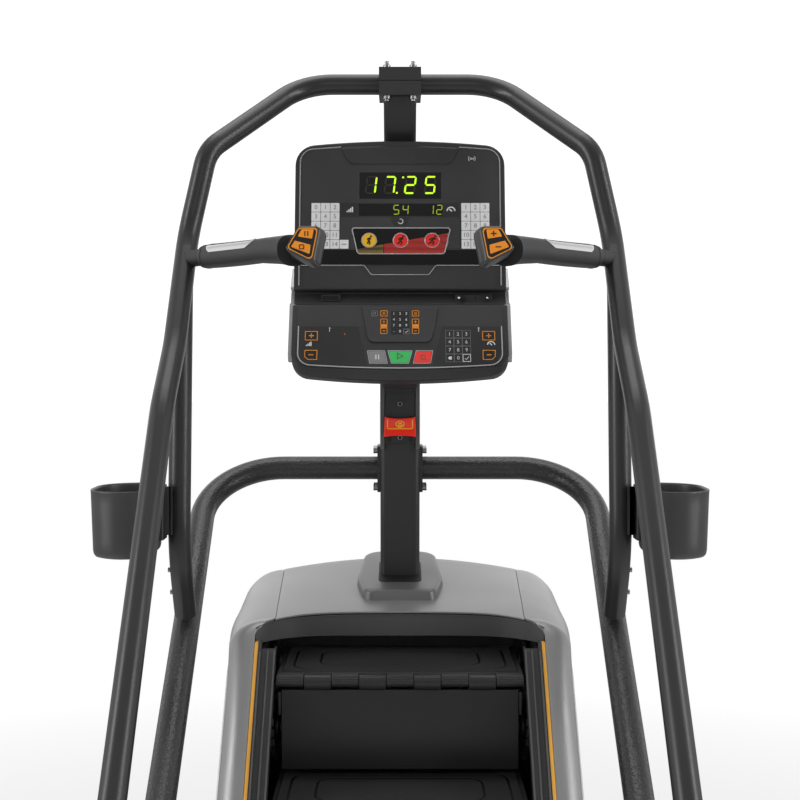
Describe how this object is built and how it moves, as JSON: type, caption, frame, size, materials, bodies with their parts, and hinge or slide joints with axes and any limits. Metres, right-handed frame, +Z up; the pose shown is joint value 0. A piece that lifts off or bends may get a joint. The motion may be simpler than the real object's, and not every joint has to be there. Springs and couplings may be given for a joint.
{
  "type": "stair climber",
  "caption": "Revolving-stair climber with side handrails, cushioned grab rail, console on a mast, hand grips with keys, cup holders and an emergency stop.",
  "frame": {"origin": "on the floor under the middle of the machine's bounding box", "axes": "+X across the machine to the user's right, +Y to the front of the machine away from the user, +Z up"},
  "size_m": [1.008, 1.49, 2.139],
  "materials": {
    "powder_frame": "satin black powder coat",
    "foot_rubber": "matt moulded rubber",
    "wheel_rubber": "matt polyurethane",
    "inner_steel": "satin black powder coat",
    "rail_paint": "satin charcoal powder coat",
    "cover_grey": "satin metallic grey moulding",
    "clamp_black": "satin black",
    "bolt_steel": "black oxide",
    "fascia_dark": "fine grained dark grey",
    "panel_silver": "satin silver moulding",
    "liner_dark": "fine grained dark plastic",
    "accent_amber": "amber translucent strip",
    "step_black": "ribbed matt black moulding",
    "textured_grip": "hammered texture, satin",
    "cup_plastic": "fine grained charcoal plastic",
    "grip_rubber": "satin moulded rubber",
    "contact_metal": "satin stainless contact plate",
    "pod_plastic": "satin dark plastic",
    "key_amber": "amber overlay key",
    "console_black": "fine grained black plastic",
    "display_gloss": "gloss dark overlay",
    "deck_matte": "matt dark overlay",
    "key_grey": "grey key",
    "key_green": "green key",
    "key_red": "red key",
    "key_dark": "dark key with amber outline",
    "stop_red": "gloss red paddle",
    "chain_steel": "oiled steel",
    "drive_steel": "machined steel",
    "brake_cast": "painted casting"
  },
  "bodies": {
    "frame": {"base_frame": "powder_frame", "levelling_feet": "foot_rubber", "belly_pan": "powder_frame", "side_frame_left": "inner_steel", "side_frame_right": "inner_steel", "mast": "rail_paint", "mast_boot": "cover_grey", "top_clamp": "clamp_black", "rail_bolts": "bolt_steel", "hood_cover": "cover_grey", "hood_fascia": "fascia_dark", "side_cover_left": "cover_grey", "side_cover_right": "cover_grey", "side_panel_left": "panel_silver", "side_panel_right": "panel_silver", "front_cover": "cover_grey", "step_liners": "liner_dark", "accent_strips": "accent_amber", "entry_step": "step_black", "handrail_left": "rail_paint", "handrail_right": "rail_paint", "upright_left": "rail_paint", "upright_right": "rail_paint", "grab_rail_left": "textured_grip", "grab_rail_right": "textured_grip", "cup_holder_left": "cup_plastic", "cup_holder_right": "cup_plastic", "grip_left": "grip_rubber", "grip_right": "grip_rubber", "grip_contacts": "contact_metal", "grip_pod_left": "pod_plastic", "grip_pod_right": "pod_plastic", "console_shell": "console_black", "display_panel": "display_gloss", "deck_panel": "deck_matte", "stop_mount": "console_black", "brake_body": "brake_cast"},
    "front_stairs": {"step_1": "step_black", "step_2": "step_black", "step_3": "step_black", "step_4": "step_black", "front_chains": "chain_steel"},
    "return_stairs": {"return_steps": "step_black"},
    "drive_shaft": {"drive_shaft": "drive_steel"},
    "lower_idlers": {"lower_idlers": "drive_steel"},
    "brake_rotor": {"brake_rotor": "drive_steel"},
    "wheel_left": {"transport_wheel_left": "wheel_rubber"},
    "wheel_right": {"transport_wheel_right": "wheel_rubber"},
    "stop_paddle": {"stop_paddle": "stop_red"},
    "key_pause": {"key_pause": "key_grey"},
    "key_go": {"key_go": "key_green"},
    "key_stop": {"key_stop": "key_red"},
    "key_level_up": {"key_level_up": "key_dark"},
    "key_level_down": {"key_level_down": "key_dark"},
    "key_speed_up": {"key_speed_up": "key_dark"},
    "key_speed_down": {"key_speed_down": "key_dark"},
    "key_grip_pause": {"key_grip_pause": "key_amber"},
    "key_grip_stop": {"key_grip_stop": "key_amber"},
    "key_grip_faster": {"key_grip_faster": "key_amber"},
    "key_grip_slower": {"key_grip_slower": "key_amber"}
  },
  "joints": [
    {"name": "drive_spin", "type": "hinge", "parent": "frame", "child": "drive_shaft", "pos_m": [0, 0.41414, 0.9077], "axis": [1, 0, 0], "range_deg": [0, 111.79]},
    {"name": "stair_travel", "type": "slide", "parent": "frame", "child": "front_stairs", "axis": [0, -0.615, -0.7885], "range_m": [0, 0.25374]},
    {"name": "return_travel", "type": "slide", "parent": "frame", "child": "return_stairs", "axis": [0, 0.615, 0.7885], "range_m": [0, 0.25374]},
    {"name": "idler_spin", "type": "hinge", "parent": "frame", "child": "lower_idlers", "pos_m": [0, -0.11417, 0.23038], "axis": [1, 0, 0], "range_deg": [0, 111.84]},
    {"name": "brake_spin", "type": "hinge", "parent": "frame", "child": "brake_rotor", "pos_m": [0, 0.38, 0.2], "axis": [1, 0, 0], "range_deg": [0, 335.57]},
    {"name": "wheel_left_spin", "type": "hinge", "parent": "frame", "child": "wheel_left", "pos_m": [-0.341, 0.702, 0.044], "axis": [1, 0, 0], "continuous": true},
    {"name": "wheel_right_spin", "type": "hinge", "parent": "frame", "child": "wheel_right", "pos_m": [0.341, 0.702, 0.044], "axis": [1, 0, 0], "continuous": true},
    {"name": "stop_press", "type": "slide", "parent": "frame", "child": "stop_paddle", "axis": [0, 0.998, 0.0637], "range_m": [0, 0.004], "stiffness_N_per_m": 600, "springref_m": -0.002},
    {"name": "key_pause_press", "type": "slide", "parent": "frame", "child": "key_pause", "axis": [0, 0.9095, -0.4158], "range_m": [0, 0.0008], "stiffness_N_per_m": 900, "springref_m": -0.0006},
    {"name": "key_go_press", "type": "slide", "parent": "frame", "child": "key_go", "axis": [0, 0.9095, -0.4158], "range_m": [0, 0.0008], "stiffness_N_per_m": 900, "springref_m": -0.0006},
    {"name": "key_stop_press", "type": "slide", "parent": "frame", "child": "key_stop", "axis": [0, 0.9095, -0.4158], "range_m": [0, 0.0008], "stiffness_N_per_m": 900, "springref_m": -0.0006},
    {"name": "key_level_up_press", "type": "slide", "parent": "frame", "child": "key_level_up", "axis": [0, 0.9095, -0.4158], "range_m": [0, 0.0008], "stiffness_N_per_m": 900, "springref_m": -0.0006},
    {"name": "key_level_down_press", "type": "slide", "parent": "frame", "child": "key_level_down", "axis": [0, 0.9095, -0.4158], "range_m": [0, 0.0008], "stiffness_N_per_m": 900, "springref_m": -0.0006},
    {"name": "key_speed_up_press", "type": "slide", "parent": "frame", "child": "key_speed_up", "axis": [0, 0.9095, -0.4158], "range_m": [0, 0.0008], "stiffness_N_per_m": 900, "springref_m": -0.0006},
    {"name": "key_speed_down_press", "type": "slide", "parent": "frame", "child": "key_speed_down", "axis": [0, 0.9095, -0.4158], "range_m": [0, 0.0008], "stiffness_N_per_m": 900, "springref_m": -0.0006},
    {"name": "key_grip_pause_press", "type": "slide", "parent": "frame", "child": "key_grip_pause", "axis": [0, 0.9662, -0.2577], "range_m": [0, 0.0008], "stiffness_N_per_m": 900, "springref_m": -0.0006},
    {"name": "key_grip_stop_press", "type": "slide", "parent": "frame", "child": "key_grip_stop", "axis": [0, 0.9662, -0.2577], "range_m": [0, 0.0008], "stiffness_N_per_m": 900, "springref_m": -0.0006},
    {"name": "key_grip_faster_press", "type": "slide", "parent": "frame", "child": "key_grip_faster", "axis": [0, 0.9662, -0.2577], "range_m": [0, 0.0008], "stiffness_N_per_m": 900, "springref_m": -0.0006},
    {"name": "key_grip_slower_press", "type": "slide", "parent": "frame", "child": "key_grip_slower", "axis": [0, 0.9662, -0.2577], "range_m": [0, 0.0008], "stiffness_N_per_m": 900, "springref_m": -0.0006}
  ],
  "couplings": [
    {"joint": "stair_travel", "follows": "drive_spin", "m_per_rad": 0.13},
    {"joint": "return_travel", "follows": "drive_spin", "m_per_rad": 0.13},
    {"joint": "idler_spin", "follows": "drive_spin", "ratio": 1},
    {"joint": "brake_spin", "follows": "drive_spin", "ratio": 3}
  ]
}
